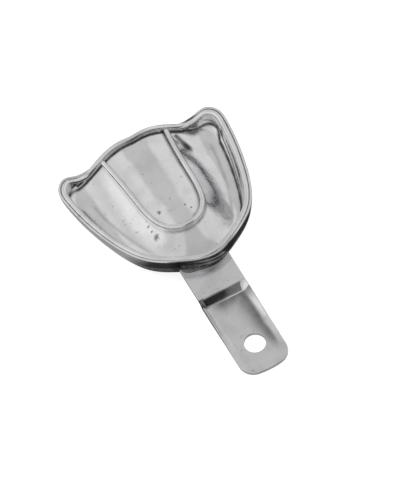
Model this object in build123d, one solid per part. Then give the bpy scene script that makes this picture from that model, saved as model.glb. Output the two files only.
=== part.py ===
from build123d import *
from math import asin, cos, radians, sin, tan
import os

import numpy as np

# Upper impression tray in polished stainless steel, millimetres.
# The hollow side faces +Z and the handle points to -Y.
# The pan stands on z = 0 on the underside of its trough.

# ---- sheet, wires and solder -----------------------------------------------
SHEET = 0.9            # thickness of the pan's sheet
RIM_WIRE_R = 1.1       # bead wire soldered inside the edge of the pan
PALATE_WIRE_R = 0.95   # U-shaped wire on the crest between trough and palate
JOINT_GAP = 0.03       # solder line between two soldered pieces
CREST_LIFT = 0.22      # solder under the palate wire
WIRE_END_GAP = 0.45    # solder between the palate wire's ends and the rim wire
WIRE_STOP_GAP = 0.6    # the palate wire is followed until it is this close to the rim wire

# ---- pan -------------------------------------------------------------------
TROUGH_FLOOR = 0.9     # height of the trough floor, on its upper face
TROUGH_REAR_RISE = 2.6
REAR_RISE_FROM = 8.0   # y where the floor starts to climb towards the back
REAR_RISE_LENGTH = 22.0
CREST_SLOPE = 13.0     # width of the slope from the crest down to the floor
FRONT_HOLLOW = 1.35    # how strongly that slope flattens out towards the floor, in front
FLANK_HOLLOW = 2.0     # the same, along the flanks
HOLLOW_FROM = -12.5    # y on the crest where the one starts to pass into the other
HOLLOW_OVER = 8.0
PALATE_TOP = 9.5
PALATE_HALF_WIDTH = 11.7
WALL_SPREAD = 5.0      # plan width of the wall and of its bend into the floor
BORDER_SPREAD = 2.0    # the same, across the low rear border
BORDER_FROM = 0.66     # share of the half edge after which the wall narrows to the border
BORDER_OVER = 0.2
WALL_SHARE = 0.34      # share of each section's points that lie on the wall
SPINE_FRONT = -6.0
SPINE_REAR = 27.0
SPINE_POWER = 1.3

# Inner face of the pan's edge, right half: front centre, flank, horn, rear centre.
RIM = [
    (0.0, -32.0, 12.3),
    (11.7, -28.1, 12.6),
    (20.9, -21.6, 12.7),
    (26.6, -12.2, 11.9),
    (30.0, -2.0, 10.9),
    (32.4, 8.2, 10.4),
    (33.9, 18.5, 10.4),
    (33.4, 24.6, 10.6),
    (30.2, 27.8, 10.2),
    (25.4, 28.6, 7.6),
    (19.4, 29.9, 5.7),
    (13.6, 30.9, 7.0),
    (6.5, 31.6, 8.9),
    (0.0, 31.6, 9.5),
]
# Crest between palate and trough, right half, carried on past the rear border.
CREST = [
    (0.0, -13.2, 7.2),
    (7.6, -9.9, 7.3),
    (11.0, -1.5, 7.4),
    (11.8, 8.0, 7.2),
    (12.5, 18.0, 6.8),
    (13.5, 28.0, 6.7),
    (14.3, 36.0, 6.7),
]

# ---- handle ----------------------------------------------------------------
HANDLE_WIDTH = 19.3
HANDLE_SHEET = 1.2
HANDLE_OFFSET = -2.6   # the handle is soldered a little off centre
HANDLE_YAW = -1.05     # degrees
SHANK_OVERRUN = 6.0    # the blank reaches this far back before it is cut to the wall
SHANK_TOP = 5.5        # height of the shank's upper face at the wall
SHANK_PITCH = 5.5      # degrees, downwards
SHANK_LENGTH = 10.9
STEP_RUN = 2.6
STEP_DROP = 2.5
BEND_R = 1.2
BLADE_LENGTH = 33.8
TIP_CORNER_R = 6.0
TIP_BULGE = 1.6
HOLE_R = 4.0
HOLE_FROM_TIP = 12.0
FLANGE_SHEET = 0.7
FLANGE_FADE = 7.0      # the flanges run out this far before the tip
FLANGE_FILLET = 1.8
WEB_OVERLAP = 0.5      # the flanges' webs reach this far into the strip
WALL_CUT_X = 16.0      # half width of the stretch of wall the shank is cut to
WALL_CUT_MARGIN = 1.2

# ---- solder fillets between shank and wall -----------------------------------
SOLDER_LEG = 1.1       # height on the wall, and reach along the shank underneath
SOLDER_REACH = 0.6     # reach along the shank's upper face
SOLDER_EXTRA = 1.9     # extra reach at the left end, where the wall curves away
SOLDER_POINTS = 9

SECTIONS = 49          # sections along half of the pan's edge
SECTION_POINTS = 37
FINE_STEPS = 3000      # steps a spline is measured in


def clamped_curve(points, first_way, last_way, count):
    """Evenly spaced points on the cubic spline through the given points."""
    p = np.array(points, float)
    chord = np.linalg.norm(np.diff(p, axis=0), axis=1)
    knots = np.concatenate([[0.0], np.cumsum(chord)])
    n = len(p)
    matrix = np.eye(n)
    right = np.zeros((n, 3))
    right[0] = first_way
    right[-1] = last_way
    for i in range(1, n - 1):
        before, after = chord[i - 1], chord[i]
        matrix[i, i - 1:i + 2] = [after, 2 * (before + after), before]
        right[i] = 3 * ((p[i] - p[i - 1]) / before * after + (p[i + 1] - p[i]) / after * before)
    slope = np.linalg.solve(matrix, right)
    u = np.linspace(0, knots[-1], FINE_STEPS)
    k = np.clip(np.searchsorted(knots, u, side="right") - 1, 0, n - 2)
    h = chord[k][:, None]
    t = ((u - knots[k])[:, None]) / h
    dense = (
        (2 * t**3 - 3 * t**2 + 1) * p[k]
        + (t**3 - 2 * t**2 + t) * h * slope[k]
        + (3 * t**2 - 2 * t**3) * p[k + 1]
        + (t**3 - t**2) * h * slope[k + 1]
    )
    run = np.concatenate([[0.0], np.cumsum(np.linalg.norm(np.diff(dense, axis=0), axis=1))])
    even = np.linspace(0, run[-1], count)
    return np.stack([np.interp(even, run, dense[:, axis]) for axis in range(3)], axis=1)


rim_half = clamped_curve(RIM, (1, 0, 0), (-1, 0, 0), SECTIONS)
rim_half[[0, -1], 0] = 0.0
crest_half = clamped_curve(CREST, (1, 0, 0), (0.1, 0.99, 0), 400)


def inner_height(x, y):
    """Height of the upper face over the floor, the crest and the palate."""
    shape = np.shape(x)
    flat = np.stack([np.abs(np.ravel(x)), np.ravel(y)], axis=1)
    gap = np.linalg.norm(flat[:, None, :] - crest_half[None, :, :2], axis=2)
    near = gap.argmin(axis=1)
    away = gap.min(axis=1)
    close = crest_half[near]
    ahead = crest_half[np.minimum(near + 1, len(crest_half) - 1)] - crest_half[np.maximum(near - 1, 0)]
    side = ahead[:, 0] * (flat[:, 1] - close[:, 1]) - ahead[:, 1] * (flat[:, 0] - close[:, 0])
    rise = TROUGH_REAR_RISE * (np.maximum(flat[:, 1] - REAR_RISE_FROM, 0) / REAR_RISE_LENGTH) ** 2
    floor = TROUGH_FLOOR + rise
    flank = np.clip((close[:, 1] - HOLLOW_FROM) / HOLLOW_OVER, 0, 1)
    hollow = FRONT_HOLLOW + (FLANK_HOLLOW - FRONT_HOLLOW) * flank * flank * (3 - 2 * flank)
    fall = (1 - np.minimum(away / CREST_SLOPE, 1)) ** hollow
    trough = floor + (close[:, 2] - floor) * fall
    climb = 1 - (1 - np.minimum(away / PALATE_HALF_WIDTH, 1)) ** 2
    palate = close[:, 2] + (PALATE_TOP - close[:, 2]) * climb
    return np.where(side > 0, palate, trough).reshape(shape)


def pan_faces():
    """Grids of points on the pan's upper and lower faces, right half."""
    s = np.linspace(0, 1, SECTIONS)
    spine = np.stack([0 * s, SPINE_FRONT + (SPINE_REAR - SPINE_FRONT) * s**SPINE_POWER], axis=1)
    reach = spine - rim_half[:, :2]
    length = np.linalg.norm(reach, axis=1)
    way = reach / length[:, None]
    blend = np.clip((s - BORDER_FROM) / BORDER_OVER, 0, 1)
    blend = blend * blend * (3 - 2 * blend)
    spread = WALL_SPREAD + (BORDER_SPREAD - WALL_SPREAD) * blend
    t = np.linspace(0, 1, SECTION_POINTS)
    on_wall = t < WALL_SHARE
    angle = np.minimum(t / WALL_SHARE, 1) * np.pi / 2
    inward = np.where(
        on_wall[None, :],
        spread[:, None] * (1 - np.cos(angle))[None, :],
        spread[:, None] + (length - spread)[:, None] * ((t - WALL_SHARE) / (1 - WALL_SHARE))[None, :],
    )
    x = rim_half[:, 0][:, None] + way[:, 0][:, None] * inward
    y = rim_half[:, 1][:, None] + way[:, 1][:, None] * inward
    drop = np.sin(angle)[None, :]
    z = rim_half[:, 2][:, None] * (1 - drop) + inner_height(x, y) * drop
    upper = np.stack([x, y, z], axis=2)
    along_s = np.gradient(upper, axis=0)
    along_t = np.gradient(upper, axis=1)
    normal = np.cross(along_s, along_t)
    step = 0.05
    slope_x = (inner_height(x + step, y) - inner_height(x - step, y)) / (2 * step)
    slope_y = (inner_height(x, y + step) - inner_height(x, y - step)) / (2 * step)
    flat_normal = np.stack([-slope_x, -slope_y, np.ones_like(x)], axis=2)
    normal = np.where(on_wall[None, :, None], normal, flat_normal)
    middle = np.abs(x) < 1e-9
    normal[middle, 0] = 0.0
    normal /= np.linalg.norm(normal, axis=2)[:, :, None]
    lower = upper - SHEET * normal
    for grid in (upper, lower):
        grid[[0, -1], :, 0] = 0.0
        grid[:, -1, 0] = 0.0
    return upper, lower, normal


def both_halves(half):
    """One closed solid from a right half whose cut ends lie on the middle plane."""
    skin = [face for face in half.faces() if abs(face.center().X) > 0.001]
    mirrored = [face.mirror(Plane.YZ) for face in skin]
    return Solid(Shell(Face.sew_faces(skin + mirrored)[0]))


def shared_parameters(grid):
    """One set of curve parameters, from 0 to 1, that suits every row of a grid."""
    step = np.linalg.norm(np.diff(grid, axis=1), axis=2)
    share = (step / step.sum(axis=1)[:, None]).mean(axis=0)
    return [float(value) for value in np.concatenate([[0.0], np.cumsum(share)]) / share.sum()]


def make_pan(upper, lower):
    """The pan: its right half lofted through sections, and the mirror image of that half."""
    top_knots = shared_parameters(upper)
    bottom_knots = [1 - value for value in shared_parameters(lower)[::-1]]
    sections = []
    for top, bottom in zip(upper, lower):
        top_points = [tuple(point) for point in top]
        bottom_points = [tuple(point) for point in bottom[::-1]]
        sections.append(Wire([
            Edge.make_spline(top_points, parameters=top_knots),
            Edge.make_line(top_points[-1], bottom_points[0]),
            Edge.make_spline(bottom_points, parameters=bottom_knots),
            Edge.make_line(bottom_points[-1], top_points[0]),
        ]))
    return both_halves(Solid.make_loft(sections))


def wire_path(upper, normal, radius, depth):
    """Centre line of a wire lying on the upper face, a given depth inside the edge."""
    points = []
    for row, row_normal in zip(upper, normal):
        run = np.concatenate([[0.0], np.cumsum(np.linalg.norm(np.diff(row, axis=0), axis=1))])
        spot = np.array([np.interp(depth, run, row[:, axis]) for axis in range(3)])
        way = np.array([np.interp(depth, run, row_normal[:, axis]) for axis in range(3)])
        points.append(spot + way / np.linalg.norm(way) * (radius + JOINT_GAP))
    return np.array(points)


def make_wire(points, radius, last_on_middle):
    """A round wire from the centre line of its right half, which starts on the middle plane."""
    ways = np.gradient(points, axis=0)
    ways[0] = (1, 0, 0)
    if last_on_middle:
        ways[-1] = (-1, 0, 0)
    rings = []
    for point, way in zip(points, ways):
        plane = Plane(origin=tuple(point), x_dir=tuple(np.cross(way, (0, 0, 1))), z_dir=tuple(way))
        rings.append(Wire.make_circle(radius, plane))
    return both_halves(Solid.make_loft(rings))


def palate_path(rim_path):
    """Centre line of the palate wire, which stops against the rim wire."""
    lift = PALATE_WIRE_R + CREST_LIFT
    path = clamped_curve(CREST, (1, 0, 0), (0.1, 0.99, 0), 60) + (0, 0, lift)
    path[0, 0] = 0.0
    gap = np.linalg.norm(path[:, None, :2] - rim_path[None, :, :2], axis=2).min(axis=1)
    stop = int(np.argmax(gap < RIM_WIRE_R + WIRE_STOP_GAP))
    last = path[stop - 1]
    way = path[stop] - last
    way = way / np.linalg.norm(way)
    rest = gap[stop - 1] - RIM_WIRE_R - WIRE_END_GAP
    return np.concatenate([path[:stop], [last + way * rest]])


def wall_outline(lower, height, x_limit):
    """Outer face of the front wall at one height, from left to right."""
    wall = int(SECTION_POINTS * WALL_SHARE)
    ranks = np.arange(wall)
    right_side = []
    for row in lower:
        rank = np.interp(-height, -row[:wall, 2], ranks)
        right_side.append([float(np.interp(rank, ranks, row[:wall, axis])) for axis in range(2)])
        if right_side[-1][0] > x_limit:
            break
    left_side = [(-x, y) for x, y in reversed(right_side[1:])]
    return left_side + [tuple(point) for point in right_side]


def wall_y(lower, x, height):
    """The front wall's outer face at one place across the tray."""
    outline = np.array(wall_outline(lower, height, WALL_CUT_X))
    return float(np.interp(x, outline[:, 0], outline[:, 1]))


def wall_cutter(lower):
    """Everything behind the pan's front wall, around the shank's height."""
    faces = []
    above = SHANK_TOP + WALL_CUT_MARGIN
    below = SHANK_TOP - HANDLE_SHEET - WALL_CUT_MARGIN
    for height in np.linspace(above, below, 5):
        points = [(x, y - 2 * JOINT_GAP) for x, y in wall_outline(lower, height, WALL_CUT_X)]
        corners = [points[-1], (points[-1][0], 0), (points[0][0], 0), points[0]]
        faces.append(Pos(0, 0, height) * make_face(Spline(points) + Polyline(corners)))
    return loft(faces, ruled=True)


def make_handle(lower):
    """Pressed strip: flat shank, step down, and a blade between two low side flanges."""
    front = wall_y(lower, 0, SHANK_TOP)
    pitch = radians(SHANK_PITCH)
    start = Vector(SHANK_OVERRUN * cos(pitch), SHANK_TOP + SHANK_OVERRUN * sin(pitch))
    step_top = Vector(-SHANK_LENGTH * cos(pitch), SHANK_TOP - SHANK_LENGTH * sin(pitch))
    step_foot = step_top + Vector(-STEP_RUN, -STEP_DROP)
    blade_pitch = asin((step_foot.Y - HANDLE_SHEET) / BLADE_LENGTH)
    blade_way = Vector(-cos(blade_pitch), -sin(blade_pitch))
    tip = step_foot + blade_way * BLADE_LENGTH
    fade = step_foot + blade_way * (BLADE_LENGTH - FLANGE_FADE)
    past_tip = tip + blade_way * TIP_CORNER_R

    upper_line = FilletPolyline([start, step_top, step_foot, past_tip], radius=BEND_R)
    strip = make_face(offset(upper_line, HANDLE_SHEET, side=Side.LEFT, closed=True))
    overlap = Vector(0, WEB_OVERLAP)
    web = make_face(Polyline([step_top, fade, step_foot - overlap, step_top - overlap, step_top]))
    side_plane = Plane(origin=(0, front, 0), x_dir=(0, 1, 0), z_dir=(1, 0, 0))
    half_width = HANDLE_WIDTH / 2
    block = extrude(side_plane * (strip + web), half_width, both=True)
    headroom = Vector(0, 20)
    above = make_face(upper_line + Polyline([past_tip, past_tip + headroom, start + headroom, start]))
    recess = extrude(side_plane * above, half_width - FLANGE_SHEET, both=True)
    long_edges = recess.edges().filter_by(lambda edge: edge.center().Z < SHANK_TOP - 1)
    recess = fillet(long_edges.filter_by(lambda edge: abs(edge.center().X) > 1), FLANGE_FILLET)

    shoulder = front + tip.X + TIP_BULGE
    back = front + SHANK_OVERRUN + TIP_BULGE
    corners = [(-half_width, shoulder), (-half_width, back), (half_width, back), (half_width, shoulder)]
    end_arc = ThreePointArc(corners[0], (0, front + tip.X), corners[-1])
    outline = make_face(Polyline(corners) + end_arc)
    outline = fillet(outline.vertices().sort_by(Axis.Y)[:2], TIP_CORNER_R)
    blank = extrude(outline, headroom.Y)

    hole_centre = tip - blade_way * HOLE_FROM_TIP
    hole_plane = Plane(
        origin=(0, front + hole_centre.X, hole_centre.Y),
        z_dir=(0, -sin(blade_pitch), cos(blade_pitch)),
    )
    hole = extrude(hole_plane * Circle(HOLE_R), 2 * HANDLE_SHEET, both=True)
    handle = ((block - recess) & blank) - hole
    place = Pos(HANDLE_OFFSET, front, 0) * Rot(0, 0, HANDLE_YAW) * Pos(0, -front, 0)
    hole_spot = place * hole_plane.location
    return place * handle - wall_cutter(lower), hole_spot


def solder_reach(across):
    """How far the upper fillet reaches along the shank, wider where the wall curves away."""
    left = max(0.0, -across) / (HANDLE_WIDTH / 2)
    return SOLDER_REACH + SOLDER_EXTRA * left**1.6


def solder_seam(lower, side):
    """Solder fillet along the joint of shank and wall, above (1) or below (-1) the shank."""
    front = wall_y(lower, 0, SHANK_TOP)
    half_length = HANDLE_WIDTH / 2 - SOLDER_LEG
    slope = tan(radians(SHANK_PITCH))
    rings = []
    for across in np.linspace(-half_length, half_length, SOLDER_POINTS):
        x = across + HANDLE_OFFSET
        foot_y = wall_y(lower, x, SHANK_TOP) - 4 * JOINT_GAP
        face_z = SHANK_TOP + (foot_y - front) * slope
        reach = solder_reach(across)
        if side < 0:
            face_z -= HANDLE_SHEET / cos(radians(SHANK_PITCH))
            foot_y = wall_y(lower, x, face_z) - 4 * JOINT_GAP
            reach = SOLDER_LEG
        wall_z = face_z + side * SOLDER_LEG
        corner = (x, foot_y, face_z + side * 2 * JOINT_GAP)
        on_wall = (x, wall_y(lower, x, wall_z) - 5 * JOINT_GAP, wall_z)
        on_shank = (x, foot_y - reach, face_z - slope * reach + side * 2 * JOINT_GAP)
        rings.append(Wire.make_polygon([corner, on_wall, on_shank]))
    return Solid.make_loft(rings)


upper, lower, normal = pan_faces()
rim_path = wire_path(upper, normal, RIM_WIRE_R, RIM_WIRE_R)
handle, hole_spot = make_handle(lower)
parts = {
    "tray_pan": make_pan(upper, lower),
    "rim_wire": make_wire(rim_path, RIM_WIRE_R, True),
    "palate_wire": make_wire(palate_path(rim_path), PALATE_WIRE_R, False),
    "handle": handle,
    "handle_solder": Compound([solder_seam(lower, 1), solder_seam(lower, -1)]),
}

# The row's origin is the middle of the whole tray's footprint, on the table.
box = Compound(list(parts.values())).bounding_box()
to_origin = Pos(0, -(box.min.Y + box.max.Y) / 2, -box.min.Z)
os.makedirs("parts", exist_ok=True)
for name, solid in parts.items():
    export_step(to_origin * solid, f"parts/{name}.step")
print("moved by", to_origin.position, "size", box.size)
print("hole", (to_origin * hole_spot).position, tuple(hole_spot))
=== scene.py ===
from math import asin, cos, pi, radians, sin, tan

import bmesh
import bpy
import numpy as np
from mathutils import Matrix, Vector


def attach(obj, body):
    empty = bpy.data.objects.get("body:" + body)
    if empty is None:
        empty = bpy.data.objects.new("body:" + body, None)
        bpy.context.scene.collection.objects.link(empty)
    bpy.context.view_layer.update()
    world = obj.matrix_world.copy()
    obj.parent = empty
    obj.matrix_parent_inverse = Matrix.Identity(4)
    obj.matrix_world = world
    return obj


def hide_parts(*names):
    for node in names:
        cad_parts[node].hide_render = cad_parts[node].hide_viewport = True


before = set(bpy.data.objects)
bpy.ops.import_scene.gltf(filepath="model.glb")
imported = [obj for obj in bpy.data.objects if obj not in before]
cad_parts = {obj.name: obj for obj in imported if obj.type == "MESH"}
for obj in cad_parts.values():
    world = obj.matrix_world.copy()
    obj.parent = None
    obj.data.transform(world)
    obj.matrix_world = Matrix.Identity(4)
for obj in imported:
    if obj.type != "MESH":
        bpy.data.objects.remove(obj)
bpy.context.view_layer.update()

MM = 0.001

# ---- tray dimensions, in millimetres, as in the CAD model -------------------
SHEET = 0.9
RIM_WIRE_R = 1.1
PALATE_WIRE_R = 0.95
TROUGH_FLOOR = 0.9
TROUGH_REAR_RISE = 2.6
REAR_RISE_FROM = 8.0
REAR_RISE_LENGTH = 22.0
CREST_SLOPE = 13.0
FRONT_HOLLOW = 1.35
FLANK_HOLLOW = 2.0
HOLLOW_FROM = -12.5
HOLLOW_OVER = 8.0
CREST_LIFT = 0.22
PALATE_TOP = 9.5
PALATE_HALF_WIDTH = 11.7
WALL_SPREAD = 5.0
BORDER_SPREAD = 2.0
SPINE_FRONT = -6.0
SPINE_REAR = 27.0
SPINE_POWER = 1.3
RIM = [
    (0.0, -32.0, 12.3),
    (11.7, -28.1, 12.6),
    (20.9, -21.6, 12.7),
    (26.6, -12.2, 11.9),
    (30.0, -2.0, 10.9),
    (32.4, 8.2, 10.4),
    (33.9, 18.5, 10.4),
    (33.4, 24.6, 10.6),
    (30.2, 27.8, 10.2),
    (25.4, 28.6, 7.6),
    (19.4, 29.9, 5.7),
    (13.6, 30.9, 7.0),
    (6.5, 31.6, 8.9),
    (0.0, 31.6, 9.5),
]
CREST = [
    (0.0, -13.2, 7.2),
    (7.6, -9.9, 7.3),
    (11.0, -1.5, 7.4),
    (11.8, 8.0, 7.2),
    (12.5, 18.0, 6.8),
    (13.5, 28.0, 6.7),
    (14.3, 36.0, 6.7),
]
HANDLE_WIDTH = 19.3
HANDLE_SHEET = 1.2
HANDLE_OFFSET = -2.6
HANDLE_YAW = -1.05
SHANK_TOP = 5.5
SHANK_PITCH = 5.5
SHANK_LENGTH = 10.9
STEP_RUN = 2.6
STEP_DROP = 2.5
BLADE_LENGTH = 33.8
TIP_CORNER_R = 6.0
TIP_BULGE = 1.6
HOLE_R = 4.0
HOLE_FROM_TIP = 12.0
FLANGE_FADE = 7.0
SOLDER_LEG = 1.1
SOLDER_REACH = 0.6
SOLDER_EXTRA = 1.9
BORDER_FROM = 0.66
BORDER_OVER = 0.2

# Where the tray stands in the shared frame.
SHIFT = np.array([0.0, 23.5866, 0.0230])

# ---- finer shapes than in the CAD model, in millimetres ------------------------
STEP_TWIST = 0.55                # the step's slope eases a little from left to right
BEND_SOFTNESS = 0.18             # how far the two bends of the step are rounded
RIGHT_FLANGE_RISE = (2.9, 0.5)   # the flange rises between these distances from the side
LEFT_FLANGE_RISE = (1.9, 0.35)
FLANGE_SOFTNESS = 0.45           # share of an S-shaped rise in the flange; the rest is a round corner
LOWER_CORNER = 1.7               # the lower face rounds up over this width at each side
LOWER_LIFT = 0.4                 # share of the flange's height that it follows
LOWER_ROUNDNESS = 0.98           # under 1, the round corner stops short of upright
EDGE_ROUNDING = 0.22
WIRE_STOP_GAP = 0.35             # the palate wire ends this close to the rim wire
SHANK_SINK = 0.15                # the shank's end reaches this far into the wall
SHANK_CUT = 0.4                  # which is measured this far under the shank's top
STEP_MARGIN = 1.2                # the fine rows reach this far beyond the step
RINGS_BEFORE_HOLE = 8.0          # the blade's rows give way to rings this far before the hole
SOLDER_INSET = 0.6               # the fillets end this far from the shank's sides
SOLDER_SINK = 0.05               # their edges lie this deep in the wall and the shank
SOLDER_ROOT = 0.15               # and their root this deep
SOLDER_SAG = 0.36                # how far each fillet's face bends in towards the corner

RIM_STEPS = 180                  # sections along half of the pan's edge
SECTION_STEPS = 76
SECTION_CROWDING = 1.35          # over 1, a section's points lie closer near the edge
WALL_STEPS, FLOOR_STEPS = 60, 90
FRONT_ROWS = 70                  # sections along half of the front wall
HANDLE_COLUMNS = 65              # further apart than the edges are rounded
HANDLE_ROWS = (12, 25, 22)       # before the step, over it and behind it
RING_SHARES = [0.0, 0.06, 0.16, 0.32, 0.52, 0.74, 0.9, 1.0]
OUTLINE_SIDE_STEP = 0.8
OUTLINE_TURN_STEPS = 13
SOLDER_SECTIONS = 61
SOLDER_POINTS = 9
SPLINE_STEPS = 6000              # steps that a spline is measured in
CREST_STEPS = 400
PALATE_WIRE_STEPS = 160
CHUNK = 20000                    # points measured at a time

# Points closer than this are one point, in metres.
SAME_POINT = 1e-7
SAME_PAN_POINT = 2e-6
ON_MIDDLE = 1e-9

# ---- painted shade, painted reflections and marks on the steel, in tray millimetres ---
# The pairs that go into ramps say where a mark's strength is 0 and where it is 1.
STAIN = (0.30, 0.30, 0.30)
# dark colour of the painted shade and painted reflections, and of the specks
SHADE_AND_SPECK_COLOUR = (0.09, 0.09, 0.09)
AHEAD_OF_REAR = (22, 17)
RIGHT_HALF = (8, 18)
LEFT_HALF = (-8, -18)
# painted shade along the bead wire's inner side, where the wire meets the pan
RIM_SEAM_AT = 2.3                # plan distance from the pan's edge to where the bead wire meets the pan on its inner side
RIM_SEAM_WIDTH = 0.5
RIM_SHADE = 1.4
RIGHT_SEAM_SHIFT = 1.5           # along the two sides the painted shade lies further in
RIGHT_SEAM_SHADE = 0.5
LEFT_SEAM_SHIFT = 2.4
LEFT_SEAM_SPREAD = 0.25
FOLD_AT = 7.4                    # plan distance from the edge to the painted shade along the trough's soft fold
FOLD_WIDTH = 0.6
FOLD_SHADE = 0.45
LEFT_FOLD_SHIFT = 1.8
FOLD_SIDES = (14, 18)            # the fold shows in the sides only
FOLD_END = (19, 16)
# painted shade along both sides of the palate wire
CREST_SEAM_WIDTH = 0.42
CREST_SHADE_X = 3.0              # right of this the painted shade along the palate wire is dark all along
CREST_FAINT = 0.35               # strength of that painted shade on the left, behind the wire's front bend
CREST_FRONT = (-10, -12)
BLOTCH = (23.4, 27.2)            # a dark ring-shaped mark on the right horn
BLOTCH_R = 1.8
BLOTCH_WIDTH = 1.3
BLOTCH_DARKNESS = 1.1
DARK_REFLECTION_FROM = (16.3, 26.0)        # a long painted dark reflection beside the palate wire
DARK_REFLECTION_TO = (17.9, 19.6)
DARK_REFLECTION_WIDTH = (0.9, 1.4)         # at its two ends
DARK_REFLECTION_STRENGTH = 1.3
SPECKS = [                       # x, y and radius
    (-6.8, -3.2, 1.5),
    (-12.1, -9.8, 2.0),
    (-12.4, -7.0, 0.8),
    (-12.6, -4.6, 1.0),
    (3.0, -5.6, 0.9),
    (4.4, -7.6, 0.9),
]
OUTER_WALL_Y = -26.5             # ahead of this the pan's outside carries a painted dark reflection round the handle's joint
FACING_OUT = -0.25               # the normal's y on the outside is below this
JOINT_REACH = 3.0                # the painted reflection reaches this far past the shank's sides
JOINT_PEAK = 1.15                # over 1, so the middle is evenly dark
JOINT_GAIN = 4
WALL_REFLECTION_DARKNESS = 1.4
STREAKS = (2.6, 0.45)            # radians per millimetre, up the wall and along it
STREAK_DEPTH = 0.6
STREAK_FADE = (-8, -2)
SCUFFED_EDGE = 0.5               # width of the scuffed strip along the pan's edge
# painted shade on the handle: under the step, along the right flange's foot, in the crease at the step's
# foot and over the step
BLADE_SHADE_FROM = 0.4           # the blade's shade starts this far behind the step
UNDER_STEP_FROM = 0.5            # is strongest up to here
UNDER_STEP_REACH = 4.0           # and fades over this length
UNDER_STEP_LEFT = 0.4            # share of the width, left of the middle, where it ends
UNDER_STEP_FADE = 5.0
TAPER_RUN_OUT = 2.0              # the shade along the flange ends this far past the flange
TAPER_GAIN = 4
FLANGE_SHADE = (0.9, 1.1, 4.5)   # widths: on the flange, beside its foot, and what the step adds there
STEP_FOLD_WIDTH = 0.5
STEP_FOLD_SHADE = 0.8
STEP_FOLD_FADE = (1, -2)
STEP_SHADE_FADE = (1.5, -2.0)
STEP_SHADE = 0.62
LEFT_FLANGE_SHADE = 1.2
STEP_SHADE_MARGIN = (0.3, 0.35)  # the shade runs past the step's two bends this far
SCUFFED_LEFT = 2.3               # widths of the scuffed strips along the blade's sides
SCUFFED_RIGHT = 0.3
SCUFF_ROUGHNESS = 0.3
CLOUD_SHADE = 0.88               # the tint's share in the duller clouds
WATER_MARKS = 0.45
SPECK_DARKNESS = 0.85
SPECK_EDGE = (1.2, 0.5)          # shares of a speck's radius over which it darkens
SPECK_RAGGEDNESS = 0.9
MIRRORED_FADE = 0.8              # how much of the painted shade goes where it is only seen mirrored

# ---- the studio, in brightness and in directions of length 1 ----------------------
BAND_TOP = 0.13                  # z where the dark band in front ends at its lowest
FRONT_RISE = 0.70                # how much taller it stands straight ahead
GREY_FRONT_RISE = 0.47           # the same, for where it turns from black to grey
GREY_LEVEL = 0.3
BAND_DROP = 0.3                  # how far the band sinks beside and behind the tray
SKY_LEVEL = 0.77
OVERHEAD_DIMMING = 0.17
LEFT_DIMMING = 0.07
FRONT_DIMMING = 0.07
FAR_LEFT_GLOW = 0.24
DOOR_LEVEL = 0.40
DOOR_FRAME_GAIN = 4.4
DARKEST = 0.03
SWAY = 0.16                      # how far the zones' edges wander
PAPER = (0.30, 0.30, 0.30, 1)
PAPER_GLOW = 0.84
PAPER_MIRRORED = 0.34            # its glow in the tray's polish, beyond the tray's shade
SHADE_CENTRE = (0.0, -0.006, 0.0)
SHADE_EDGE = (0.026, 0.037)


# ---- shapes ------------------------------------------------------------------
def clamped_curve(points, first_way, last_way, count):
    """Evenly spaced points on the cubic spline through the given points."""
    p = np.array(points, float)
    chord = np.linalg.norm(np.diff(p, axis=0), axis=1)
    knots = np.concatenate([[0.0], np.cumsum(chord)])
    n = len(p)
    matrix = np.eye(n)
    right = np.zeros((n, 3))
    right[0] = first_way
    right[-1] = last_way
    for i in range(1, n - 1):
        before, after = chord[i - 1], chord[i]
        matrix[i, i - 1:i + 2] = [after, 2 * (before + after), before]
        right[i] = 3 * ((p[i] - p[i - 1]) / before * after + (p[i + 1] - p[i]) / after * before)
    slope = np.linalg.solve(matrix, right)
    u = np.linspace(0, knots[-1], SPLINE_STEPS)
    k = np.clip(np.searchsorted(knots, u, side="right") - 1, 0, n - 2)
    h = chord[k][:, None]
    t = ((u - knots[k])[:, None]) / h
    dense = (
        (2 * t**3 - 3 * t**2 + 1) * p[k]
        + (t**3 - 2 * t**2 + t) * h * slope[k]
        + (3 * t**2 - 2 * t**3) * p[k + 1]
        + (t**3 - t**2) * h * slope[k + 1]
    )
    run = np.concatenate([[0.0], np.cumsum(np.linalg.norm(np.diff(dense, axis=0), axis=1))])
    even = np.linspace(0, run[-1], count)
    return np.stack([np.interp(even, run, dense[:, axis]) for axis in range(3)], axis=1)


CREST_WAYS = (1, 0, 0), (0.1, 0.99, 0)   # directions of the crest at its two ends
CREST_LINE = clamped_curve(CREST, *CREST_WAYS, CREST_STEPS)


def smooth(share):
    """A share from 0 to 1, eased at both ends."""
    return share * share * (3 - 2 * share)


def ramp(values, zero_at, one_at):
    """A straight rise from 0 to 1 between two places, held beyond them."""
    return np.clip((values - zero_at) / (one_at - zero_at), 0, 1)


def hump(distance, width):
    """A soft bump, 1 at distance 0."""
    return np.exp(-((distance / width) ** 2))


def nearest(flat, line):
    """Plan distance from each point to the nearest point of a line, and that point's number."""
    away = np.empty(len(flat))
    number = np.empty(len(flat), int)
    for start in range(0, len(flat), CHUNK):
        part = slice(start, start + CHUNK)
        gap = np.linalg.norm(flat[part, None, :] - line[None, :, :2], axis=2)
        away[part] = gap.min(axis=1)
        number[part] = gap.argmin(axis=1)
    return away, number


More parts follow.
